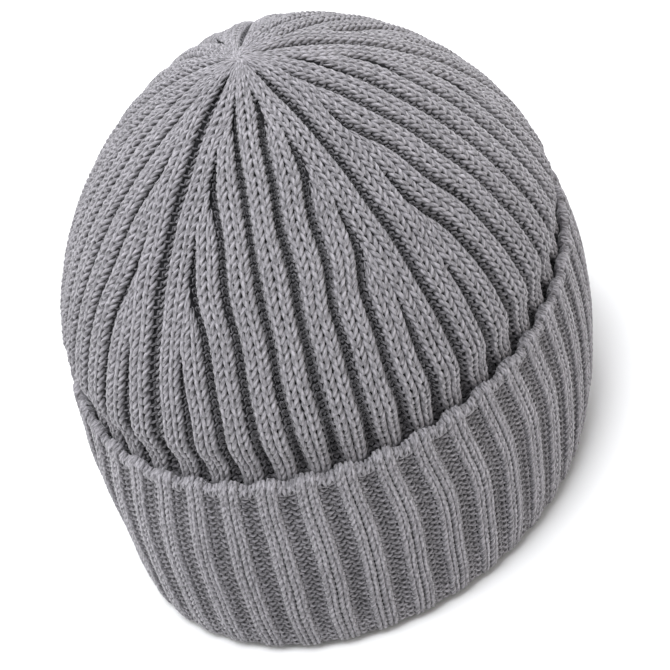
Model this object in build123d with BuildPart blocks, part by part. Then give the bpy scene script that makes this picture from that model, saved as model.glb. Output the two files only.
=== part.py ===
from build123d import *
import os
from math import atan2, cos, pi, radians, sin

os.makedirs("parts", exist_ok=True)

# A two-by-two rib knitted beanie, filled out as it is on a head. Millimetres.
# +Z is up, the forehead faces -Y and the wearer's left is +X. The hat stands on
# the fold of its turn-up, and that fold is at z = 0.

# Driving dimensions of the outside.
CUFF_TOP = 84.0
CROWN_TOP = 191.5
HALF_LENGTH = (97.0, 105.0, 99.8)    # at the fold, half way up the cuff, at its top
HALF_BREADTH = (84.0, 86.5, 88.0)
CENTRE_Y = (7.1, 0.1, 0.1)
APEX_Y = 4.2
DOME_ROUNDNESS = 1.32                # how fast the dome closes in, 1 is an ellipsoid
DOME_RISE = 1.11

# The knitting.
FABRIC = 4.0
LAYER_GAP = 0.3
FOLD_HEIGHT = 6.0
EDGE_HEIGHT = 4.0
EDGE_PROUD = 0.4
EDGE_EASE = 0.6                      # the bead is that much thinner than the fabric
WEDGES = 5
CROWN_START = -0.07                  # shares of the way up the dome, under 0 is in the cuff
CROWN_HELD = 0.03                    # the cuff's edge holds it in up to here
CROWN_FREE = 0.22

# The gathered top and the seams.
GATHER_RADIUS = 5.0
NECK_RADIUS = 2.6
NECK_LENGTH = 4.0
YARN_RADIUS = 1.1
YARN_OFFSET = 0.8                    # the yarn's centre line outside the neck
BUTTON_DROP = 1.2
KNOT_RADIUS = 2.8
SEAM_WIDTH = 3.0
SEAM_DEPTH = 1.2

CROWN_BASE = CUFF_TOP * (1 + CROWN_START)
BAND_INSET = FABRIC + LAYER_GAP
SPAN = 150.0


def along_cuff(values, share):
    """The smooth curve through a bottom, a middle and a top value."""
    bottom, middle, top = values
    lower = bottom * (1 - share) * (1 - 2 * share)
    upper = top * share * (2 * share - 1)
    return lower + 4 * middle * share * (1 - share) + upper


def cuff_outline(height, inset):
    """Half length, half breadth, centre and height of the level outline of the cuff."""
    share = height / CUFF_TOP
    half_length = along_cuff(HALF_LENGTH, share) - inset
    half_breadth = along_cuff(HALF_BREADTH, share) - inset
    return half_length, half_breadth, along_cuff(CENTRE_Y, share), height


def tuck(share):
    """How far the cuff holds the crown in, fading out just above the cuff."""
    reach = (share - CROWN_HELD) / (CROWN_FREE - CROWN_HELD)
    reach = max(0.0, min(1.0, reach))
    return BAND_INSET * (1 - reach) ** 2 * (1 + 2 * reach)


def crown_outline(share, inset):
    """The same four values for the crown, at a share of the way up its dome."""
    held_in = inset + tuck(share)
    if share <= 0:
        return cuff_outline(CUFF_TOP * (1 + share), held_in)
    closing = cos(share * pi / 2) ** DOME_ROUNDNESS
    rise = sin(share * pi / 2) ** DOME_RISE
    half_length = (HALF_LENGTH[2] - inset) * closing - tuck(share)
    half_breadth = (HALF_BREADTH[2] - inset) * closing - tuck(share)
    centre_y = CENTRE_Y[2] + (APEX_Y - CENTRE_Y[2]) * share**1.5
    height = CUFF_TOP + (CROWN_TOP - inset - CUFF_TOP) * rise
    return half_length, half_breadth, centre_y, height


def filled(outlines):
    """A closed solid through level oval outlines."""
    with BuildPart() as form:
        for half_length, half_breadth, centre_y, height in outlines:
            with BuildSketch(Plane.XY.offset(height)):
                with Locations((0, centre_y)):
                    Ellipse(half_breadth, half_length)
        loft()
    return form.part


def cuff_form(low, high, inset):
    levels = [low + (high - low) * step / 4 for step in range(5)]
    return filled([cuff_outline(level, inset) for level in levels])


def crown_form(inset):
    shares = (CROWN_START, -0.02, CROWN_HELD, 0.08, 0.14, CROWN_FREE, 0.32, 0.44, 0.56, 0.68, 0.78, 0.87, 0.93, 0.97)
    return filled([crown_outline(share, inset) for share in shares])


def finish(piece, name):
    piece.part.label = name
    export_step(piece.part, "parts/" + name + ".step")
    print(name, round(piece.part.volume / 1000, 2), "cm3")


# Crown: one knitted dome, open at the very top, in the five wedges of its shaping.
crown_outside = crown_form(0)
crown_inside = crown_form(FABRIC)
with BuildPart() as crown_shell:
    add(crown_outside)
    add(crown_inside, mode=Mode.SUBTRACT)
    with BuildSketch(Plane.XY.offset(CUFF_TOP)):
        with Locations((0, APEX_Y)):
            Circle(GATHER_RADIUS)
    extrude(amount=SPAN, mode=Mode.SUBTRACT)

wedge_names = ("back_right", "right", "front", "left", "back_left")
for index, side in enumerate(wedge_names):
    corners = [(0, APEX_Y)]
    for step in range(3):
        turn = radians(90 + 360 / WEDGES * (index + step / 2))
        heading = atan2(HALF_LENGTH[2] * sin(turn), HALF_BREADTH[2] * cos(turn))
        corners.append((SPAN * cos(heading), APEX_Y + SPAN * sin(heading)))
    with BuildPart() as crown_wedge:
        add(crown_shell.part)
        with BuildSketch(Plane.XY):
            with BuildLine():
                Polyline(*corners, close=True)
            make_face()
        extrude(amount=CROWN_TOP + SPAN, mode=Mode.INTERSECT)
    finish(crown_wedge, "crown_wedge_" + side)

# Gathered top: the last loops drawn into a button, with a neck under it.
neck_top = crown_outline(0.9, FABRIC)[3]
with BuildPart() as crown_gather:
    with BuildSketch(Plane.XZ.offset(-APEX_Y)):
        with BuildLine():
            Polyline(
                (0, neck_top - NECK_LENGTH),
                (NECK_RADIUS, neck_top - NECK_LENGTH),
                (NECK_RADIUS, neck_top),
                (GATHER_RADIUS, neck_top),
                (GATHER_RADIUS, CROWN_TOP - BUTTON_DROP),
                (GATHER_RADIUS / 2, CROWN_TOP),
                (0, CROWN_TOP),
                close=True,
            )
        make_face()
        with Locations((NECK_RADIUS + YARN_OFFSET, neck_top - NECK_LENGTH / 2)):
            Circle(YARN_RADIUS, mode=Mode.SUBTRACT)
    revolve(axis=Axis((0, APEX_Y, 0), (0, 0, 1)))
finish(crown_gather, "crown_gather")

# Closing yarn: drawn tight round the neck of the gathered loops.
with BuildPart() as closing_yarn:
    with Locations((0, APEX_Y, neck_top - NECK_LENGTH / 2)):
        Torus(NECK_RADIUS + YARN_OFFSET, YARN_RADIUS)
finish(closing_yarn, "closing_yarn")

# Closing knot: the tied ends of that yarn, inside the hat.
with BuildPart() as closing_knot:
    with Locations((0, APEX_Y, neck_top - NECK_LENGTH - KNOT_RADIUS / 2)):
        Sphere(KNOT_RADIUS)
    split(bisect_by=Plane.XY.offset(neck_top - NECK_LENGTH), keep=Keep.BOTTOM)
finish(closing_knot, "closing_knot")

# Inner band: the same tube of knitting, hidden behind the cuff.
band_outside = cuff_form(FOLD_HEIGHT, CROWN_BASE, BAND_INSET)
band_inside = cuff_form(FOLD_HEIGHT, CROWN_BASE, BAND_INSET + FABRIC)
with BuildPart() as inner_band:
    add(band_outside)
    add(band_inside, mode=Mode.SUBTRACT)
finish(inner_band, "inner_band")

# Turned fold: where the knitting turns up on itself, flat on its underside.
fold_roundings = ((0, 2.6), (1.0, 1.1), (2.6, 0.25), (4.2, 0), (FOLD_HEIGHT, 0))
double_layer = BAND_INSET + FABRIC
fold_outside = filled([cuff_outline(height, drawn) for height, drawn in fold_roundings])
fold_inside = filled([cuff_outline(height, double_layer - drawn) for height, drawn in fold_roundings])
with BuildPart() as turned_fold:
    add(fold_outside)
    add(fold_inside, mode=Mode.SUBTRACT)
finish(turned_fold, "turned_fold")

# Cuff: the turned-up layer outside the band, with a channel for its own seam.
edge_base = CUFF_TOP - EDGE_HEIGHT / 2
cuff_outside = cuff_form(FOLD_HEIGHT, edge_base, 0)
cuff_inside = cuff_form(FOLD_HEIGHT, edge_base, FABRIC)
cuff_seam_line = cuff_form(FOLD_HEIGHT, edge_base, FABRIC - SEAM_DEPTH)
with BuildPart() as cuff_seam:
    add(cuff_seam_line)
    add(cuff_inside, mode=Mode.SUBTRACT)
    with Locations((0, SPAN / 2, CUFF_TOP / 2)):
        Box(SEAM_WIDTH, SPAN, 2 * CUFF_TOP, mode=Mode.INTERSECT)
finish(cuff_seam, "cuff_seam")

with BuildPart() as cuff:
    add(cuff_outside)
    add(cuff_inside, mode=Mode.SUBTRACT)
    add(cuff_seam.part, mode=Mode.SUBTRACT)
finish(cuff, "cuff")

# Cuff edge: the cast-on row, a soft bead round the top of the cuff.
edge_roundings = ((0, 0), (0.3, -EDGE_PROUD), (0.7, -EDGE_PROUD / 2), (1.0, 1.2))
edge_levels = [(edge_base + EDGE_HEIGHT * share, drawn) for share, drawn in edge_roundings]
edge_outside = filled([cuff_outline(height, drawn) for height, drawn in edge_levels])
edge_inside = cuff_form(edge_base, edge_base + EDGE_HEIGHT, FABRIC - EDGE_EASE)
with BuildPart() as cuff_edge:
    add(edge_outside)
    add(edge_inside, mode=Mode.SUBTRACT)
finish(cuff_edge, "cuff_edge")

# Back seam: the join of the knitted tube, on its inner face from fold to gathered top.
band_seam_line = cuff_form(FOLD_HEIGHT, CROWN_BASE, BAND_INSET + FABRIC + SEAM_DEPTH)
crown_seam_line = crown_form(FABRIC + SEAM_DEPTH)
with BuildPart() as back_seam:
    add(band_inside)
    add(crown_inside)
    add(band_seam_line, mode=Mode.SUBTRACT)
    add(crown_seam_line, mode=Mode.SUBTRACT)
    with Locations((0, APEX_Y + 2 * GATHER_RADIUS + SPAN / 2, CROWN_TOP / 2)):
        Box(SEAM_WIDTH, SPAN, CROWN_TOP, mode=Mode.INTERSECT)
finish(back_seam, "back_seam")
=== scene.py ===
"""A heather grey ribbed beanie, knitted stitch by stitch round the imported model.

The whole hat is one piece of knitting, so it is laid out on one run of fabric: from the
cast-on row at the cuff's edge, down the cuff, round the fold, up the band behind the
cuff and over the crown to the gathered top. Every course of that run is a yarn.
"""

import bpy
import numpy as np
from mathutils import Matrix, Vector


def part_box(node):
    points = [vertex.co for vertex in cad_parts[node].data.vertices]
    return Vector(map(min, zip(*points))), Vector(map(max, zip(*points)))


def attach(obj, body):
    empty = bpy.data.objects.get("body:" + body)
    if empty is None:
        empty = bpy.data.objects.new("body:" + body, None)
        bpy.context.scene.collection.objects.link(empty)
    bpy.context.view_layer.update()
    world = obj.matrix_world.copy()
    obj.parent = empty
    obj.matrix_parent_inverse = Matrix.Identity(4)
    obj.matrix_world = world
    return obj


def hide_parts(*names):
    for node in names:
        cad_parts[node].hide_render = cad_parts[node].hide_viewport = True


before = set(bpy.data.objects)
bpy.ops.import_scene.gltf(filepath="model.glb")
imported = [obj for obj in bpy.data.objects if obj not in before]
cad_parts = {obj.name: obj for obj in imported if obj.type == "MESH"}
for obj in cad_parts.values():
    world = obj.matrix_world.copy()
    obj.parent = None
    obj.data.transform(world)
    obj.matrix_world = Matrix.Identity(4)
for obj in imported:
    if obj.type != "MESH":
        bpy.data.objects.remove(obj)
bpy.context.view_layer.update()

MM = 0.001
TAU = 2 * np.pi

# Knitting. A rib is two knit and two purl wales, and a wedge is nine ribs.
WEDGES = 5
RIBS_PER_WEDGE = 9
CUFF_COURSE = 2.57 * MM          # the height of one course, stretched more on the crown
CROWN_COURSE = 3.17 * MM
SEAM_ANGLE = np.pi / 2           # the back of the hat, where the first wedge starts
UP = (0.0, 0.0, 1.0)

# One stitch. Reach is a share of the course's height, swing and ease of the wale's width.
YARN = 0.88 * MM                 # radius, where the stitches have room
ROOMY = 4.6 * MM                 # the width from which a wale has that room
LOOP_REACH = 0.83                # how far a purl loop goes up and down
LEG_REACH = 0.21                 # how much further the legs of a knit loop go
LOOP_SWING = 0.23                # how far a loop bulges to each side
SIDE_EASE = 0.15                 # where a yarn changes sides between knit and purl
STAGGER, LEAN, PLUMP = 0.055, 0.022, 0.05      # spreads of the stitches' unevenness

# The crown's shape, as the CAD crown has it, but filling out sooner above the cuff.
DOME_ROUNDNESS = 1.32
DOME_RISE = 1.11
FABRIC = 4.0 * MM                # one layer
LAYER_GAP = 0.3 * MM
CROWN_START = -0.07              # shares of the way up the dome, under 0 is in the cuff
CROWN_HELD = 0.03
CROWN_FREE = 0.13
DOME_END = 0.975

# Detail of the tubes.
STEPS_PER_STITCH = 12
SIDES = 6
HIDDEN_STEPS = 8
HIDDEN_SIDES = 5
MAP_APART = 0.7                  # metres between two courses in the yarns' own map

# Heights off the fabric's middle over which the painted shade fades, from a groove's darkest
# floor to a rib's unshaded top.
SHADED_CROWN = (-3.1 * MM, 2.9 * MM)
SHADED_CUFF = (-1.2 * MM, 1.25 * MM)

rng = np.random.default_rng(11)


def unit(vectors):
    """Vectors along the last axis, brought to length 1."""
    return vectors / np.maximum(np.linalg.norm(vectors, axis=-1, keepdims=True), 1e-12)


def smooth_step(value, low, high):
    """0 below low, 1 above high and an eased rise between them."""
    share = np.clip((value - low) / (high - low), 0, 1)
    return share * share * (3 - 2 * share)


def bell(value, middle, reach):
    """1 at the middle, fading to both sides over a reach."""
    return np.exp(-((value - middle) / reach) ** 2)


def box_of(node):
    """Two opposite corners of one of the model's pieces."""
    return tuple(np.array(corner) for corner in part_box(node))


def placed(name, data):
    """An object of a mesh, lamp or camera, put in the scene."""
    made = bpy.data.objects.new(name, data)
    bpy.context.scene.collection.objects.link(made)
    return made


# ---------------------------------------------------------------- the run of fabric

fold_low, fold_high = box_of("turned_fold")
cuff_low, cuff_high = box_of("cuff")
edge_low, edge_high = box_of("cuff_edge")
gather_low, gather_high = box_of("crown_gather")
CUFF_TOP = (edge_low[2] + edge_high[2]) / 2
CROWN_TOP = gather_high[2]
APEX_Y = (gather_low[1] + gather_high[1]) / 2
EDGE_PROUD = 0.4 * MM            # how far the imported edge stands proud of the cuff
RIM = 0.7 * MM                   # how far the cast-on edge rolls back, a radius
RIM_TOP = CUFF_TOP - 2.5 * MM
SCALLOP = 1.2 * MM               # how far the edge dips at a groove
FOLD_CLEAR = 1.4 * MM            # how much higher than its own width the fold starts
FOLD_DROP = 1.6                  # radii that the fold hangs below where it starts
CUFF_MIDDLE = 0.56               # share of the cuff's height where it is longest

# The cuff lies a little askew of the crown: radians round the hat.
ASKEW_AT_RIM = 0.038
ASKEW_DOWN = 0.049               # how much more it is at the fold
ASKEW_FROM = 2.072               # where the wales lie straight
ASKEW_TURN = 0.1                 # how far that place moves down the cuff

# The turned-up edge is pressed in at the back's left.
DENT_AT, DENT_HALF = 0.96, 0.30  # radians
DENT_HEIGHT = 26 * MM
DENT_DEPTH = 3.2 * MM


def three_heights():
    """Half length, half breadth and centre of the cuff at its foot, middle and top."""
    rows = []
    for low, high, proud in (
        (fold_low, fold_high, 0.0),
        (cuff_low, cuff_high, 0.0),
        (edge_low, edge_high, EDGE_PROUD),
    ):
        rows.append((
            (high[1] - low[1]) / 2 - proud,
            (high[0] - low[0]) / 2 - proud,
            (high[1] + low[1]) / 2,
        ))
    heights = (fold_high[2], CUFF_MIDDLE * CUFF_TOP, edge_low[2])
    return np.array(heights), np.array(rows)


OUTLINE_HEIGHTS, OUTLINE_ROWS = three_heights()
OUTLINE_FIT = [np.polyfit(OUTLINE_HEIGHTS, column, 2) for column in OUTLINE_ROWS.T]


def cuff_outline(height):
    """The outer half length, half breadth and centre at a height."""
    return tuple(np.polyval(fit, height) for fit in OUTLINE_FIT)


def dome_outline(share, inset):
    """The crown's middle surface at a share of the way up its dome, as four values."""
    reach = np.clip((share - CROWN_HELD) / (CROWN_FREE - CROWN_HELD), 0, 1)
    tuck = (FABRIC + LAYER_GAP) * (1 - reach) ** 2 * (1 + 2 * reach)
    half_length, half_breadth, centre = cuff_outline(CUFF_TOP)
    closing = np.cos(share * np.pi / 2) ** DOME_ROUNDNESS
    height = CUFF_TOP + (CROWN_TOP - inset - CUFF_TOP) * np.sin(share * np.pi / 2) ** DOME_RISE
    return (
        (half_length - inset) * closing - tuck * closing,
        (half_breadth - inset) * closing - tuck * closing,
        centre + (APEX_Y - centre) * share**1.5,
        height,
    )


def fabric_rows():
    """Sections of the fabric's middle surface in knitting order, and where each region ends."""
    half_layer = FABRIC / 2
    behind = FABRIC + LAYER_GAP
    turn = behind / 2
    rows, ends = [], {}

    def put(inset, height):
        half_length, half_breadth, centre = cuff_outline(height)
        rows.append((half_length - inset, half_breadth - inset, centre, height))

    for height in np.linspace(RIM_TOP - 3 * MM, RIM_TOP - 0.1 * MM, 6):
        put(half_layer + RIM, height)
    for angle in np.linspace(0, np.pi, 11):
        put(half_layer + RIM * np.cos(angle), RIM_TOP + RIM * np.sin(angle))
    ends["rim"] = len(rows) - 1
    for height in np.linspace(RIM_TOP - 0.5 * MM, RIM_TOP - 9 * MM, 12):
        settled = (RIM_TOP - height) / (9 * MM)
        put(half_layer - RIM * (1 - settled) ** 2, height)
    foot = 2 * turn + FOLD_CLEAR
    for height in np.linspace(RIM_TOP - 10 * MM, foot, 60):
        put(half_layer, height)
    ends["cuff"] = len(rows) - 1
    for angle in np.linspace(0, np.pi, 15)[1:-1]:
        put(half_layer + turn * (1 - np.cos(angle)), foot - FOLD_DROP * turn * np.sin(angle))
    ends["fold"] = len(rows)
    for height in np.linspace(foot, CUFF_TOP * (1 + CROWN_START), 60):
        put(half_layer + behind, height)
    ends["band"] = len(rows) - 1
    for height in np.linspace(CUFF_TOP * (1 + CROWN_START / 2), CUFF_TOP, 3):
        put(half_layer + behind, height)
    for share in 1 - (1 - np.linspace(0.012, DOME_END, 160)) ** 1.1:
        rows.append(dome_outline(share, half_layer))
    return np.array(rows), ends


def along(rows):
    """How far along the fabric each section is, taken on the mean of its two half widths."""
    mean_radius = (rows[:, 0] + rows[:, 1]) / 2
    return np.concatenate([[0], np.cumsum(np.hypot(np.diff(mean_radius), np.diff(rows[:, 3])))])


ROWS, ENDS = fabric_rows()
RUN = along(ROWS)
RUN_AT = {name: RUN[index] for name, index in ENDS.items()}
LENGTH = RUN[-1]
EVEN = np.arange(0, LENGTH, 0.25 * MM)      # even steps along the run


def smoothed(values, reach):
    """values blurred along their first axis over some steps, with straight ends kept straight."""
    span = int(3 * reach)
    weights = np.exp(-0.5 * (np.arange(-span, span + 1) / reach) ** 2)
    weights /= weights.sum()
    before = 2 * values[:1] - values[span:0:-1]
    after = 2 * values[-1:] - values[-2:-span - 2:-1]
    padded = np.concatenate([before, values, after])
    return np.apply_along_axis(np.convolve, 0, padded, weights, "valid")


TABLE = smoothed(np.stack([np.interp(EVEN, RUN, ROWS[:, i]) for i in range(4)], 1), 3.0)
SLOPE = np.gradient(TABLE, EVEN, axis=0)


def section(run):
    """(half length, half breadth, centre, height) and their slopes at any place along the run."""
    place = np.clip(run, 0, EVEN[-1])
    return (
        [np.interp(place, EVEN, TABLE[:, i]) for i in range(4)],
        [np.interp(place, EVEN, SLOPE[:, i]) for i in range(4)],
    )


def slid(run, angle):
    """Where a wale really lies: the cuff was turned up a little askew of the crown."""
    on_cuff = 1 - smooth_step(run, RUN_AT["fold"], RUN_AT["band"])
    down_cuff = smooth_step(run, RUN_AT["rim"], RUN_AT["rim"] + 35 * MM)
    askew = (ASKEW_AT_RIM + ASKEW_DOWN * down_cuff) * on_cuff
    return angle + askew * np.sin(2 * (angle - ASKEW_FROM + ASKEW_TURN * down_cuff))


def dented(angle, height):
    """How far the turned-up edge is pressed in at the back's left."""
    return DENT_DEPTH * bell(angle, DENT_AT, DENT_HALF) * bell(height, DENT_HEIGHT, DENT_HEIGHT)


def on_fabric(run, angle, lift):
    """Points at a run, an angle round the hat and a lift towards the face, and the face's way."""
    (length, breadth, centre, height), (d_length, d_breadth, d_centre, d_height) = section(run)
    angle = slid(run, angle)
    dent = dented((angle + np.pi) % TAU - np.pi, height)
    cos, sin = np.cos(angle), np.sin(angle)
    place = np.stack([(breadth - dent) * cos, centre + (length - dent) * sin, height], -1)
    across = np.stack([-breadth * sin, length * cos, 0 * cos], -1)
    up = np.stack([d_breadth * cos, d_centre + d_length * sin, d_height + 0 * cos], -1)
    face = unit(np.cross(across, up))
    return place + face * lift[..., None], face


# ---------------------------------------------------------------- wales

CROWN_RUN = RUN_AT["band"]
NEVER = 2 * LENGTH

# Round the crown the grooves are tight at one place and stretched at another, in degrees.
TIGHT_AT, TIGHT_HALF = -42, 36   # from the seam
STRETCHED_AT, STRETCHED_HALF = 155, 65
SEAM_OPENNESS = 1.4              # the groove down the back seam, where 1 is as the others


def on_crown(run):
    """0 on the band and 1 on the crown."""
    return smooth_step(run, CROWN_RUN - 5 * MM, CROWN_RUN + 12 * MM)


def at_rim(run):
    """1 up to the cast-on edge and 0 from just beyond it."""
    return 1 - smooth_step(run, RUN_AT["rim"] + 0.8 * MM, RUN_AT["rim"] + 3.4 * MM)


def wedge_wales():
    """One wedge's wales, left to right: (is it knit, where it starts to narrow, where it ends).

    merges is in mm along the crown: there a groove closes and then the two wales beside it go.
    """
    merges = (
        (30, 54, 58, 68, 62, 74),
        (72, 92, 92, 101, 96, 107),
        (108, 121, 121, 127, 124, 131),
    )
    last_groove = (122, 140)
    wales = [(False, NEVER, NEVER + MM)]
    for rib in range(RIBS_PER_WEDGE):
        depth = min(rib, RIBS_PER_WEDGE - 1 - rib)
        knit = [(True, NEVER, NEVER + MM)] * 2
        if 0 < depth < 4:
            pairs = np.reshape(merges[depth - 1], (3, 2))[1:] * MM + CROWN_RUN
            outer, inner = pairs if rib < RIBS_PER_WEDGE // 2 else pairs[::-1]
            knit = [(True, *inner), (True, *outer)]
        wales += knit
        if rib < RIBS_PER_WEDGE - 1:
            gap = min(rib, RIBS_PER_WEDGE - 2 - rib)
            start, end = merges[gap][:2] if gap < 3 else last_groove
            wales += [(False, CROWN_RUN + start * MM, CROWN_RUN + end * MM)] * 2
    return wales + [(False, NEVER, NEVER + MM)]


WALES = wedge_wales() * WEDGES
PER_WEDGE = len(WALES) // WEDGES
IS_KNIT = np.array([wale[0] for wale in WALES])
PAIRED_LEFT = np.arange(len(WALES)) % 2 == 0      # shares its rib with the wale on its left
NARROWS = np.array([wale[1] for wale in WALES])
STOPS = np.array([wale[2] for wale in WALES])
LEAST_WIDTH = 0.35


def groove_widths():
    """How open each groove lies on the crown, and how much of its relief each wale has there."""
    part = np.arange(len(WALES)) / len(WALES)
    from_tight = (part + 0.5 - TIGHT_AT / 360) % 1 - 0.5
    from_stretched = (part + 0.5 - STRETCHED_AT / 360) % 1 - 0.5
    tight = bell(from_tight * 360, 0, TIGHT_HALF)
    stretched = bell(from_stretched * 360, 0, STRETCHED_HALF)
    of_groove = rng.uniform(0.82, 1.18, len(WALES)) * (1 - 0.4 * tight)
    open_wale = np.where(PAIRED_LEFT, of_groove, np.roll(of_groove, 1))
    open_wale[[0, -1]] = SEAM_OPENNESS
    flatter = (1 - 0.35 * tight) * (1 - 0.2 * stretched)
    shallow = open_wale * (1 - 0.45 * stretched)
    return np.where(IS_KNIT, 1.0, open_wale), np.where(IS_KNIT, flatter, shallow)


OPENNESS, RELIEF = groove_widths()


def wale_widths(run):
    """How wide every wale is at one place along the run, before they are fitted to the wedge.

    knit is a knit wale's share of a rib with its groove, which has two wales of each kind.
    """
    up_cuff = smooth_step(run, RUN_AT["rim"], RUN_AT["cuff"])
    to_band = smooth_step(run, RUN_AT["cuff"], RUN_AT["fold"] + 8 * MM)
    to_crown = on_crown(run)
    up_crown = smooth_step(run, CROWN_RUN + 10 * MM, CROWN_RUN + 110 * MM)
    knit = 0.24 - 0.025 * up_cuff + 0.035 * to_band + 0.098 * to_crown + 0.02 * up_crown
    width = np.where(IS_KNIT, knit, 0.5 - knit) * (1 + to_crown * (OPENNESS - 1))
    alive = 1 - smooth_step(run, NARROWS, STOPS) * (1 - LEAST_WIDTH)
    gone = smooth_step(run, STOPS - 1 * MM, STOPS + 2 * MM)
    return width * alive * (1 - gone)


LEVEL_STEP = 0.5 * MM
LEVELS = np.arange(0, LENGTH + 4 * MM, LEVEL_STEP)
WIDTHS = smoothed(np.array([wale_widths(level) for level in LEVELS]), 7.0).clip(0)
WIDTHS = WIDTHS.reshape(len(LEVELS), WEDGES, PER_WEDGE)
WIDTHS = (WIDTHS / WIDTHS.sum(2, keepdims=True)).reshape(len(LEVELS), -1) * TAU / WEDGES
EDGES = SEAM_ANGLE + np.concatenate([np.zeros((len(LEVELS), 1)), np.cumsum(WIDTHS, 1)], 1)


def looked_up(table, run, column):
    """table's value at a place along the run for a column, between its levels."""
    place = np.clip(run / LEVEL_STEP, 0, len(LEVELS) - 1.001)
    low = place.astype(int)
    share = place - low
    return table[low, column] * (1 - share) + table[low + 1, column] * share


# ---------------------------------------------------------------- stitches

# How far a wale stands off the fabric's middle, in mm: on the cuff, then what the crown
# adds and what the band behind the cuff takes away.
KNIT_SWELL = (1.0, 0.5, 0.2)
PURL_SWELL = (1.15, 1.55, 0.25)


def course_height(run):
    """How tall a course is at one place along the run."""
    stretched = smooth_step(run, CROWN_RUN - 20 * MM, CROWN_RUN + 10 * MM)
    return CUFF_COURSE + (CROWN_COURSE - CUFF_COURSE) * stretched


def course_levels():
    """Where every course lies along the run."""
    levels, place = [], 0.0
    while place < LENGTH - 1 * MM:
        tall = course_height(place)
        levels.append(place + tall / 2)
        place += tall
    return levels


COURSES = course_levels()


def wobble(run, angle, turn=0.0):
    """Slow unevenness of the hand of the fabric, about -1 to 1."""
    return (
        np.sin(7 * angle + 61 * run + 1.3 + turn)
        + np.sin(11 * angle - 143 * run + 2 * turn)
        + np.sin(3 * angle + 230 * run + 4 - turn)
    ) / 3


def rib_swell(run, knit):
    """How far a knit or purl wale stands off the fabric's middle, towards its face when knit."""
    crown = on_crown(run)
    band = smooth_step(run, RUN_AT["cuff"], RUN_AT["fold"]) * (1 - crown)
    rim = at_rim(run)
    from_fold = np.minimum(np.abs(run - RUN_AT["cuff"]), np.abs(run - RUN_AT["fold"]))
    in_fold = (run > RUN_AT["cuff"]) & (run < RUN_AT["fold"])
    flat = 1 - 0.75 * np.where(in_fold, 1.0, bell(from_fold, 0, 7 * MM))
    knit_swell, purl_swell = (
        on_cuff + more * crown - less * band for on_cuff, more, less in (KNIT_SWELL, PURL_SWELL))
    proud = np.where(knit, knit_swell, purl_swell)
    return proud * (1 - 0.3 * rim) * flat * MM


def sunk(run, place, shows_knit):
    """How much lower the cuff's edge lies in its grooves; place is -1 to 1 across one."""
    near_rim = 1 - smooth_step(run, RUN_AT["rim"], RUN_AT["rim"] + 9 * MM)
    dip = np.where(shows_knit, -0.3, 1.0)
    return SCALLOP * near_rim * dip * (1 - np.clip(np.abs(place), 0, 1) ** 2)


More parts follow.
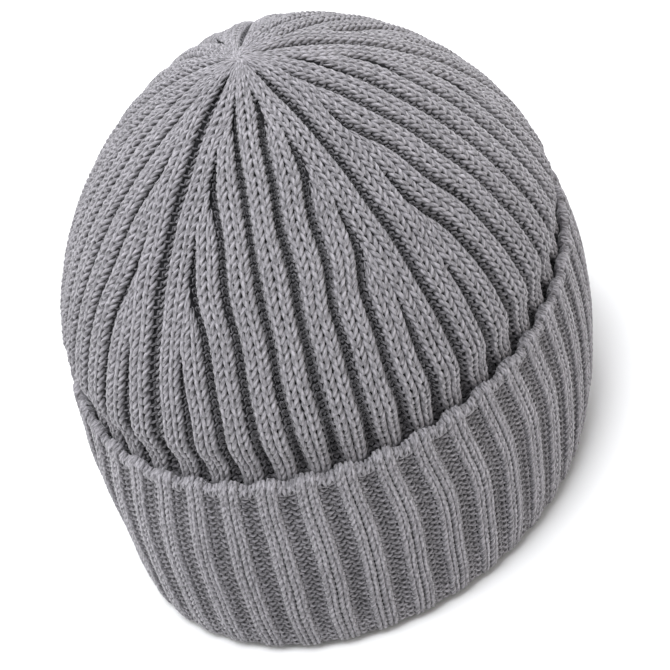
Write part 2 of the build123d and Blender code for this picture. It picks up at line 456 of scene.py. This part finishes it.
def course_yarn(level, first, last, steps):
    """One course's yarn over the wales from first to last, as a line for yarns()."""
    wales = np.array([w for w in range(first, last) if STOPS[w] > level])
    if not len(wales):
        return None
    count = len(wales)
    turn = np.append(np.tile(np.linspace(0, TAU, steps, endpoint=False), count), TAU)
    index = np.append(np.repeat(np.arange(count), steps), count - 1)
    left_of = np.maximum(index - 1, 0)
    right_of = np.minimum(index + 1, count - 1)
    wale = wales[index]
    tall = course_height(level)

    crown, rim = on_crown(level), at_rim(level)
    up_crown = smooth_step(level, CROWN_RUN + 10 * MM, CROWN_RUN + 60 * MM)
    outward = 2 * smooth_step(level, RUN_AT["cuff"], RUN_AT["fold"]) - 1

    # Which side of the fabric each wale stands on: 1 is knit and -1 purl, eased where they meet.
    knit = np.where(IS_KNIT, 1.0, -1.0)
    sign = knit * (1 - rim) - rim
    here, before, after = sign[wale], sign[wales[left_of]], sign[wales[right_of]]
    share = turn / TAU
    from_left = np.clip(0.5 - share / (2 * SIDE_EASE), 0, 0.5)
    from_right = np.clip(0.5 - (1 - share) / (2 * SIDE_EASE), 0, 0.5)
    side = here * (1 - from_left - from_right) + before * from_left + after * from_right
    legs_shown = 0.5 + 0.5 * side * outward

    # One loop: legs that lean out as they rise, and a head and feet behind them.
    stagger = rng.normal(0, STAGGER + 0.05 * rim, count)[index] * tall
    lean = rng.normal(0, LEAN, count)[index] * np.sin(turn / 2)
    plump = 1 + rng.normal(0, PLUMP + 0.07 * rim, count)[index] * np.sin(turn / 2)
    reach = (LOOP_REACH + (LEG_REACH - 0.04 * crown) * legs_shown) * tall
    run = level - reach * np.cos(turn) + stagger * np.sin(turn / 2) ** 2
    wider_legs = 0.05 * up_crown - 0.02 * crown - 0.025 * (1 - crown)
    swing = LOOP_SWING + 0.04 * rim + wider_legs * legs_shown
    slant = (0.02 + 0.03 * rim) * legs_shown * np.sin(turn)
    across = share + swing * np.sin(2 * turn) + slant + lean

    # Its place in its wale, whose borders are shared with the next wales that still go on.
    beside_left = np.where(index > 0, wales[left_of] + 1, first)
    beside_right = np.where(index < count - 1, wales[right_of], last)
    left = (looked_up(EDGES, run, wale) + looked_up(EDGES, run, beside_left)) / 2
    right = (looked_up(EDGES, run, wale + 1) + looked_up(EDGES, run, beside_right)) / 2
    angle = left + (right - left) * across
    (half_length, half_breadth, _, _), _ = section(run)
    size = (right - left) * (half_length + half_breadth) / 2
    fullness = np.clip(size / ROOMY, 0.15, 1.0)
    angle = angle + 0.35 * MM * wobble(run, angle, 2.0) / np.maximum(half_breadth, 20 * MM)
    run = run + 0.3 * MM * wobble(run, angle)

    # A pair of wales is a flat-topped rib with a crease down its middle. It falls off less
    # towards a neighbour of its own kind, where what lay between the two has ended.
    place = np.where(PAIRED_LEFT[wale], across, across - 1)
    outside = np.where(PAIRED_LEFT[wale], knit[wales[right_of]], knit[wales[left_of]])
    fall = np.where(outside != knit[wale], 1.0, 0.45) * (1 - 0.5 * rim)
    crease = (0.55 - 0.15 * crown) * bell(place, 0, 0.2) * (0.3 + 0.7 * legs_shown)
    rib = 1 - fall * np.abs(np.clip(place, -1, 1)) ** (3.2 - 0.7 * crown) - crease
    depth = (0.65 + 0.25 * crown) * MM * (0.35 + 0.65 * fullness)
    shingle = 0.3 * depth * np.cos(turn)
    stands = knit[wale] * (1 - 0.65 * rim) - 0.65 * rim
    off_middle = rib_swell(run, knit[wale] > 0) * (1 + crown * (RELIEF[wale] - 1)) * stands * rib
    lift = off_middle + side * (shingle - depth * np.cos(2 * turn))
    points, face = on_fabric(run, angle, lift)
    points[:, 2] -= sunk(run, place, knit[wale] < 0)

    fine = np.clip(fullness ** (0.35 + 0.15 * np.maximum(legs_shown, crown)), 0.5, 1.0)
    ends = 0.5 + 0.5 * np.cos(2 * turn)
    tapered = 1 - (0.1 + 0.1 * crown) * ends * legs_shown - 0.12 * (1 - ends) * (1 - legs_shown)
    stouter = 0.93 + (0.17 - 0.1 * crown) * legs_shown
    return points, face, YARN * fine * plump * tapered * stouter, lift, outward


def square_to(points, face):
    """Two directions square to a line of points, the second one nearest to its face."""
    heading = unit(np.gradient(points, axis=0))
    side = unit(np.cross(heading, face))
    return side, np.cross(side, heading)


def grid_faces(rows, around):
    """The quads between neighbouring rows of corners that each run right round."""
    first = np.arange(rows - 1)[:, None] * around
    start = first + np.arange(around)[None]
    following = first + (np.arange(around)[None] + 1) % around
    return np.stack([start, following, following + around, start + around], -1).reshape(-1, 4)


def tube(points, face, radius, sides):
    """A tube round a line of points: its corners, faces, way travelled and height along face."""
    side, out = square_to(points, face)
    around = (TAU * np.arange(sides) / sides)[None, :, None]
    ring = side[:, None] * np.cos(around) + out[:, None] * np.sin(around)
    corners = (points[:, None] + ring * radius[:, None, None]).reshape(-1, 3)
    quads = grid_faces(len(points), sides)
    travel = np.concatenate([[0], np.cumsum(np.linalg.norm(np.diff(points, axis=0), axis=1))])
    higher = np.einsum("ijk,ik->ij", ring, face) * radius[:, None]
    return corners, quads, np.repeat(travel, sides), higher


def yarns(name, lines, sides=SIDES):
    """One object from lines of (points, face, radius, lift, outward).

    lift is the height off the fabric's middle, and outward is 1 where the face looks out
    of the hat and -1 where it looks in. A UV map holds the yarn's own coordinates, and an
    attribute holds painted shade: darker on corners low in the grooves and on the tubes'
    flanks, lighter on crests that stand high on the side of the fabric that they face.
    """
    corners, quads, caps, travels, painted_shade, base = [], [], [], [], [], 0
    for number, (points, face, radius, lift, outward) in enumerate(lines):
        got, faces, travel, higher = tube(points, face, radius, sides)
        corners.append(got)
        quads.append(faces + base)
        caps += [base + np.arange(sides)[::-1], base + len(got) - sides + np.arange(sides)]
        travels.append(travel + MAP_APART * number)
        # painted shade: corners low on the facing side and on a tube's flanks are darkened,
        # crests stay light
        facing = outward * higher / radius[:, None]
        height = outward * (lift[:, None] + higher) * np.where(facing < -0.3, -1, 1)
        flank_shade = 0.3 + 0.7 * smooth_step(np.abs(facing), -0.5, 0.87)
        shaded = SHADED_CROWN if outward > 0 else SHADED_CUFF
        painted_shade.append((flank_shade * smooth_step(height, *shaded)).ravel())
        base += len(got)
    corners, quads = np.concatenate(corners), np.concatenate(quads)
    travels = np.concatenate(travels)
    mesh = bpy.data.meshes.new(name)
    mesh.vertices.add(len(corners))
    mesh.vertices.foreach_set("co", corners.astype(np.float32).ravel())
    loops = np.concatenate([quads.ravel(), *caps])
    mesh.loops.add(len(loops))
    mesh.loops.foreach_set("vertex_index", loops.astype(np.int32))
    mesh.polygons.add(len(quads) + len(caps))
    cap_starts = len(quads) * 4 + np.arange(len(caps)) * sides
    starts = np.concatenate([np.arange(len(quads)) * 4, cap_starts])
    mesh.polygons.foreach_set("loop_start", starts.astype(np.int32))
    mesh.polygons.foreach_set("use_smooth", np.ones(len(starts), bool))
    mesh.update(calc_edges=True)
    around = np.tile(np.arange(sides) / sides, len(corners) // sides)[loops]
    rows = around[: quads.size].reshape(-1, 4)
    rows[:, 1:3] = np.where(rows[:, 1:2] < rows[:, :1], 1.0, rows[:, 1:2])
    yarn_map = mesh.uv_layers.new(name="yarn")
    coordinates = np.stack([travels[loops], around], 1).astype(np.float32)
    yarn_map.data.foreach_set("uv", coordinates.ravel())
    painted_shade_map = mesh.attributes.new("painted_shade", "FLOAT", "POINT")
    painted_shade_map.data.foreach_set("value", np.concatenate(painted_shade).astype(np.float32))
    return placed(name, mesh)


def knit(name, run_from, run_to, wedge, hidden=False):
    """The yarns of every course between two places along the run, of one wedge."""
    steps, sides = (HIDDEN_STEPS, HIDDEN_SIDES) if hidden else (STEPS_PER_STITCH, SIDES)
    first, last = wedge * PER_WEDGE, (wedge + 1) * PER_WEDGE
    levels = [level for level in COURSES if run_from <= level < run_to]
    lines = [course_yarn(level, first, last, steps) for level in levels]
    return yarns(name, [line for line in lines if line is not None], sides)


# ---------------------------------------------------------------- painted shade behind the yarns

GAP_SHEET_ROW = 1.6 * MM
GAP_SHEET_SWELL = 0.8              # of the yarns' ribs


def dark_gap_sheet(name, run_from, run_to):
    """A near-black sheet of painted shade behind the yarns, one sheet right round the hat."""
    down = int((run_to - run_from) / GAP_SHEET_ROW)
    every_wale = np.arange(len(WALES))
    same_as_left = IS_KNIT == np.roll(IS_KNIT, 1)
    sign = np.where(IS_KNIT, 1.0, -1.0)
    rows = []
    for run in np.linspace(run_from, run_to, down):
        here = np.full(len(WALES), run)
        edges = looked_up(EDGES, here, every_wale)
        widths = looked_up(WIDTHS, here, every_wale)
        angles = (edges[:, None] + widths[:, None] * np.array([0.0, 0.5])).ravel()
        relief = 1 + on_crown(run) * (RELIEF - 1)
        middle = GAP_SHEET_SWELL * sign * rib_swell(here, IS_KNIT) * relief
        swell = np.stack([np.where(same_as_left, middle, 0.0), middle], 1).ravel()
        row = on_fabric(np.full(len(angles), run), angles, swell)[0]
        row[:, 2] -= sunk(run, 0.0, False)
        rows.append(row)
    quads = grid_faces(down, len(rows[0]))
    mesh = bpy.data.meshes.new(name)
    mesh.from_pydata(np.concatenate(rows).tolist(), [], quads.tolist())
    mesh.polygons.foreach_set("use_smooth", np.ones(len(quads), bool))
    return placed(name, mesh)


# ---------------------------------------------------------------- top and seams

GATHERED_LOOPS = 15
CROSSING_STRANDS = 7
GATHER_POINTS = 25               # along each of those
TOP_LIFT = 2 * MM                # these yarns get painted shade as if they stood this high
SEAM_YARN = 0.5 * MM             # radius
SEAM_LIFT = 1.6 * MM             # how far inwards of the fabric's middle the seams lie


def gathered_top(name):
    """The last loops drawn together at the crown's point, and the strands that cross them."""
    lines = []
    along_line = np.linspace(-1, 1, GATHER_POINTS)
    off_middle = np.abs(along_line)
    upright = np.tile(UP, (GATHER_POINTS, 1))
    lift = np.full(GATHER_POINTS, TOP_LIFT)
    outer = 8.0 * MM
    for number in range(GATHERED_LOOPS):
        turned = SEAM_ANGLE + (number + 0.5 + rng.normal(0, 0.08)) * TAU / GATHERED_LOOPS
        inner = (0.4 + 0.9 * rng.random()) * MM
        radius = inner + (outer - inner) * off_middle ** 1.2
        legs = np.sign(along_line) * np.minimum(1, off_middle * 5)
        spread = 0.25 * TAU / GATHERED_LOOPS * legs
        angle = turned + spread + 0.25 * (1 - off_middle) * rng.normal(0, 0.6)
        top = CROWN_TOP - FABRIC / 2 + (1.1 + 0.4 * rng.normal()) * MM
        height = top - 1.9 * MM * (radius / outer) ** 2 - 0.6 * MM * (1 - radius / outer) ** 6
        points = np.stack([radius * np.cos(angle), APEX_Y + radius * np.sin(angle), height], -1)
        lines.append((points, upright, YARN * (0.55 + 0.2 * off_middle), lift, 1.0))
    for number in range(CROSSING_STRANDS):
        heading = np.pi * (number + 0.3 * rng.normal()) / CROSSING_STRANDS
        aside = 0.9 * MM * rng.normal()
        reach = (3.6 + 0.8 * rng.random()) * MM
        ahead = reach * along_line
        bend = 0.5 * MM * np.sin(np.pi * along_line)
        top = CROWN_TOP - FABRIC / 2 + (0.9 + 0.5 * rng.random()) * MM
        points = np.stack([
            ahead * np.cos(heading) - (aside + bend) * np.sin(heading),
            APEX_Y + ahead * np.sin(heading) + (aside + bend) * np.cos(heading),
            top - 1.6 * MM * along_line**4,
        ], -1)
        lines.append((points, upright, np.full(GATHER_POINTS, 0.72 * YARN), lift, 1.0))
    return yarns(name, lines)


def plied(centre_line, radius, twists):
    """Two plies twisted round a line of points, as lines for yarns()."""
    count = len(centre_line)
    side, out = square_to(centre_line, np.tile(UP, (count, 1)))
    turn = np.linspace(0, TAU * twists, count)[:, None]
    lines = []
    for start in (0, np.pi):
        spoke = side * np.cos(turn + start) + out * np.sin(turn + start)
        points = centre_line + 0.5 * radius * spoke
        lines.append((points, out, np.full(count, 0.6 * radius), np.full(count, TOP_LIFT), 1.0))
    return lines


def closing_ring(name, node):
    """The yarn end drawn through the last loops and pulled tight, a plied ring."""
    low, high = box_of(node)
    centre, thick = (low + high) / 2, (high[2] - low[2]) / 2
    across = (high[0] - low[0]) / 2 - thick
    turn = np.linspace(0, 1.08 * TAU, 90)       # its two ends overlap a little
    climb = 0.5 * thick * turn / TAU
    points = centre + np.stack([across * np.cos(turn), across * np.sin(turn), climb], -1)
    return yarns(name, plied(points, 0.8 * thick, twists=9))


def closing_knot(name, node):
    """The knot that fastens that yarn inside the crown, a trefoil that fills its box."""
    low, high = box_of(node)
    centre, half = (low + high) / 2, (high - low) / 2
    turn = np.linspace(0, TAU, 121)
    knot = np.stack([
        np.sin(turn) + 2 * np.sin(2 * turn),
        np.cos(turn) - 2 * np.cos(2 * turn),
        -np.sin(3 * turn),
    ], -1) / (3.0, 3.0, 1.0)
    thick = 0.30 * half[0]
    points = centre + knot * (half - thick)
    return yarns(name, plied(points, thick, twists=14))


def seam(name, run_from, run_to, lift):
    """The panel's two sides whipped together, one slanting stitch to a course."""
    stitches = int((run_to - run_from) / CUFF_COURSE)
    turn = np.linspace(0, stitches * TAU, stitches * HIDDEN_STEPS + 1)
    run = np.linspace(run_from, run_to, len(turn)) + 0.25 * CUFF_COURSE * np.sin(2 * turn)
    (half_length, half_breadth, _, _), _ = section(run)
    mean_radius = np.maximum((half_length + half_breadth) / 2, 5 * MM)
    angle = SEAM_ANGLE + 1.0 * MM * np.sin(turn) / mean_radius
    points, face = on_fabric(run, angle, lift + SEAM_YARN * np.cos(turn))
    count = len(points)
    return yarns(name, [(points, face, np.full(count, SEAM_YARN), np.zeros(count), 1.0)])


# ---------------------------------------------------------------- materials

PLIES = 2
TWIST = 280                      # turns of the plies per metre of yarn
FIBRE_TURNS = 900                # how steeply the fibres' grain runs across them
FIBRE_SCALE = (420, 8)           # grain along the yarn per metre, and round it
MOTTLE_SCALE, BROAD_SCALE, GAP_SHADE_SCALE = 1100, 45, 1400      # per metre
SHADE_LOW, SHADE_GAIN = 0.28, 0.80      # the painted shade's tone deep in a groove, and how much it lightens towards a rib's top


def material_named(name, roughness, specular):
    """A plain material, its node tree and its shader."""
    material = bpy.data.materials.new(name)
    material.use_nodes = True
    tree = material.node_tree
    shader = tree.nodes["Principled BSDF"]
    shader.inputs["Roughness"].default_value = roughness
    shader.inputs["Specular IOR Level"].default_value = specular
    return material, tree, shader


def maths(tree, operation, *values):
    """A Math node with its inputs linked or set, and its output."""
    made = tree.nodes.new("ShaderNodeMath")
    made.operation = operation
    for socket, value in zip(made.inputs, values):
        if isinstance(value, bpy.types.NodeSocket):
            tree.links.new(value, socket)
        else:
            socket.default_value = value
    return made.outputs[0]


def noise(tree, place, scale, detail):
    """A noise texture's value at a place."""
    made = tree.nodes.new("ShaderNodeTexNoise")
    made.inputs["Scale"].default_value = scale
    made.inputs["Detail"].default_value = detail
    tree.links.new(place, made.inputs["Vector"])
    return made.outputs["Fac"]


def ramp(tree, factor, low, high, start=0.0, end=1.0):
    """A colour between two, by a factor from start to end."""
    made = tree.nodes.new("ShaderNodeValToRGB")
    made.color_ramp.elements[0].position = start
    made.color_ramp.elements[0].color = (*low, 1)
    made.color_ramp.elements[1].position = end
    made.color_ramp.elements[1].color = (*high, 1)
    tree.links.new(factor, made.inputs["Fac"])
    return made.outputs["Color"]


def wool(name, dark, light, relief):
    """Heather yarn: two plies of mixed grey fibre, with fine relief along the twist, and painted
    shade in the grooves and between the yarns.
    """
    material, tree, shader = material_named(name, 0.9, 0.2)
    shader.inputs["Sheen Weight"].default_value = 0.35
    shader.inputs["Sheen Roughness"].default_value = 0.4
    place = tree.nodes.new("ShaderNodeTexCoord").outputs["Object"]
    mottle = noise(tree, place, MOTTLE_SCALE, 3)
    broad = noise(tree, place, BROAD_SCALE, 2)

    on_yarn = tree.nodes.new("ShaderNodeUVMap")
    on_yarn.uv_map = "yarn"
    split = tree.nodes.new("ShaderNodeSeparateXYZ")
    tree.links.new(on_yarn.outputs["UV"], split.inputs["Vector"])
    far, around = split.outputs["X"], split.outputs["Y"]
    twist = maths(tree, "MULTIPLY", far, TAU * TWIST)
    twist = maths(tree, "ADD", twist, maths(tree, "MULTIPLY", around, TAU * PLIES))
    ply = maths(tree, "SINE", twist)
    skewed = tree.nodes.new("ShaderNodeCombineXYZ")
    steep = maths(tree, "MULTIPLY", far, FIBRE_TURNS)
    across = maths(tree, "ADD", maths(tree, "MULTIPLY", around, FIBRE_SCALE[1]), steep)
    tree.links.new(maths(tree, "MULTIPLY", far, FIBRE_SCALE[0]), skewed.inputs["X"])
    tree.links.new(across, skewed.inputs["Y"])
    fibres = noise(tree, skewed.outputs["Vector"], 1.0, 4)

    mixed = maths(tree, "MULTIPLY_ADD", mottle, 0.45, -0.3)
    mixed = maths(tree, "MULTIPLY_ADD", fibres, 1.1, mixed)
    mixed = maths(tree, "MULTIPLY_ADD", ply, 0.12, mixed)
    colour = ramp(tree, mixed, dark, light, 0.2, 0.8)
    tone = tree.nodes.new("ShaderNodeHueSaturation")
    # painted shade: the base colour is darkened in the grooves and on the yarns' flanks, by the
    # corners' attribute
    painted_shade = tree.nodes.new("ShaderNodeAttribute")
    painted_shade.attribute_name = "painted_shade"
    painted_shade_level = maths(tree, "MULTIPLY_ADD", painted_shade.outputs["Fac"], SHADE_GAIN, SHADE_LOW)
    uneven = maths(tree, "MULTIPLY_ADD", broad, 0.3, 0.85)
    tree.links.new(maths(tree, "MULTIPLY", painted_shade_level, uneven), tone.inputs["Value"])
    tree.links.new(colour, tone.inputs["Color"])
    tree.links.new(tone.outputs["Color"], shader.inputs["Base Color"])

    bump = tree.nodes.new("ShaderNodeBump")
    bump.inputs["Strength"].default_value = relief
    bump.inputs["Distance"].default_value = 0.3 * MM
    tree.links.new(mixed, bump.inputs["Height"])
    tree.links.new(bump.outputs["Normal"], shader.inputs["Normal"])
    return material


def gap_shade_material(name, dark, light):
    """Near-black painted shade for the gaps between the yarns, with a faint noise in it."""
    material, tree, shader = material_named(name, 0.95, 0.1)
    place = tree.nodes.new("ShaderNodeTexCoord").outputs["Object"]
    colour = ramp(tree, noise(tree, place, GAP_SHADE_SCALE, 3), dark, light)
    tree.links.new(colour, shader.inputs["Base Color"])
    return material


heather = wool("heather_yarn", (0.102, 0.099, 0.105), (0.392, 0.376, 0.404), 0.4)
# painted shade: a near-black colour so the gaps between the yarns read dark
gap_shade_paint = gap_shade_material("painted_gap_shade", (0.012, 0.012, 0.013), (0.03, 0.029, 0.032))


# ---------------------------------------------------------------- pieces

def clothe(piece, material, slot, *nodes):
    """The piece with its material, on its body, in place of those nodes. slot is not used."""
    piece.data.materials.append(material)
    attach(piece, "root")
    if nodes:
        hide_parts(*nodes)
    return piece


for wedge, side in enumerate(("back_right", "right", "front", "left", "back_left")):
    for zone, run_from, run_to, hidden, slot, nodes in (
        ("crown", RUN_AT["band"], LENGTH, False, "crown_knit", ["crown_wedge_" + side]),
        ("cuff", 0, RUN_AT["cuff"], False, "cuff_knit", ["cuff", "cuff_edge"]),
        ("fold", RUN_AT["cuff"], RUN_AT["fold"], False, "cuff_knit", ["turned_fold"]),
        ("band", RUN_AT["fold"], RUN_AT["band"], True, "crown_knit", ["inner_band"]),
    ):
        piece = knit(f"{zone}_ribs_{side}", run_from, run_to, wedge, hidden)
        clothe(piece, heather, slot, *nodes)

# a sheet of painted shade behind the yarns, right round the hat
gap_sheet_piece = clothe(dark_gap_sheet("painted_shade_sheet", 2 * MM, LENGTH - 1 * MM), gap_shade_paint, "crown_knit")
clothe(gathered_top("gathered_loops"), heather, "crown_knit", "crown_gather")
for piece, node in (
    (closing_ring("drawn_yarn", "closing_yarn"), "closing_yarn"),
    (closing_knot("fastening_knot", "closing_knot"), "closing_knot"),
    (seam("back_seam_stitches", RUN_AT["fold"], LENGTH, -SEAM_LIFT), "back_seam"),
    (seam("cuff_seam_stitches", 2 * MM, RUN_AT["cuff"], SEAM_LIFT), "cuff_seam"),
):
    clothe(piece, heather, "sewing_yarn", node)


# ---------------------------------------------------------------- studio

FLOOR_REACH = 6.0
CAMERA_TURN, CAMERA_RISE, CAMERA_ROLL = 43.5, 40.26, -17.45      # degrees
CAMERA_AIM = CUFF_TOP + 19 * MM  # a height on the hat's axis
CAMERA_AWAY = 1.007              # metres from there
CAMERA_LENS = 152.9              # mm
CAMERA_SHIFT = (0.0440, -0.1383)


def surroundings(strength):
    """The pale floor under the hat and even light from all round."""
    reach = FLOOR_REACH
    corners = [(-reach, -reach, 0), (reach, -reach, 0), (reach, reach, 0), (-reach, reach, 0)]
    floor_mesh = bpy.data.meshes.new("floor")
    floor_mesh.from_pydata(corners, [], [(0, 1, 2, 3)])
    floor = placed("floor", floor_mesh)
    paper, _, shader = material_named("pale_paper", 0.9, 0.2)
    shader.inputs["Base Color"].default_value = (0.9, 0.9, 0.9, 1)
    floor_mesh.materials.append(paper)
    world = bpy.data.worlds.new("studio")
    world.use_nodes = True
    world.node_tree.nodes["Background"].inputs["Color"].default_value = (1, 1, 1, 1)
    world.node_tree.nodes["Background"].inputs["Strength"].default_value = strength
    bpy.context.scene.world = world


def area_light(name, place, size, power, colour=(1, 1, 1)):
    """A round lamp aimed at the middle of the hat."""
    light = bpy.data.lights.new(name, "AREA")
    light.shape = "DISK"
    light.size = size
    light.energy = power
    light.color = colour
    lamp = placed(name, light)
    lamp.location = place
    aim = Vector((0, 0, CUFF_TOP)) - Vector(place)
    lamp.rotation_euler = aim.to_track_quat("-Z", "Y").to_euler()


def camera():
    """Behind the hat's right side and above it, with the picture's own roll."""
    turn, rise, roll = np.radians((CAMERA_TURN, CAMERA_RISE, CAMERA_ROLL))
    back = np.array([-np.sin(turn) * np.cos(rise), np.cos(turn) * np.cos(rise), np.sin(rise)])
    right = np.cross(-back, (0, 0, 1))
    right /= np.linalg.norm(right)
    up = np.cross(right, -back)
    level_right = np.cos(roll) * right + np.sin(roll) * up
    level_up = -np.sin(roll) * right + np.cos(roll) * up
    place = np.array([0, 0, CAMERA_AIM]) + back * CAMERA_AWAY
    data = bpy.data.cameras.new("camera")
    data.sensor_fit = "HORIZONTAL"
    data.sensor_width = 36
    data.lens = CAMERA_LENS
    data.shift_x, data.shift_y = CAMERA_SHIFT
    data.clip_start = 0.01
    eye = placed("camera", data)
    turned = np.column_stack([level_right, level_up, back, place])
    eye.matrix_world = Matrix([*turned.tolist(), (0, 0, 0, 1)])
    bpy.context.scene.camera = eye


surroundings(0.44)
area_light("key", (-0.1, 0.4, 1.7), 0.9, 27, (0.95, 0.97, 1.0))
area_light("fill", (1.3, 0.8, 1.4), 3.4, 30)
area_light("back", (0.5, -1.3, 1.4), 1.6, 18, (0.96, 0.97, 1.0))
area_light("low", (-1.5, -0.5, 0.35), 1.2, 8.5, (1.0, 0.94, 0.86))
camera()
bpy.context.scene.view_settings.view_transform = "Standard"
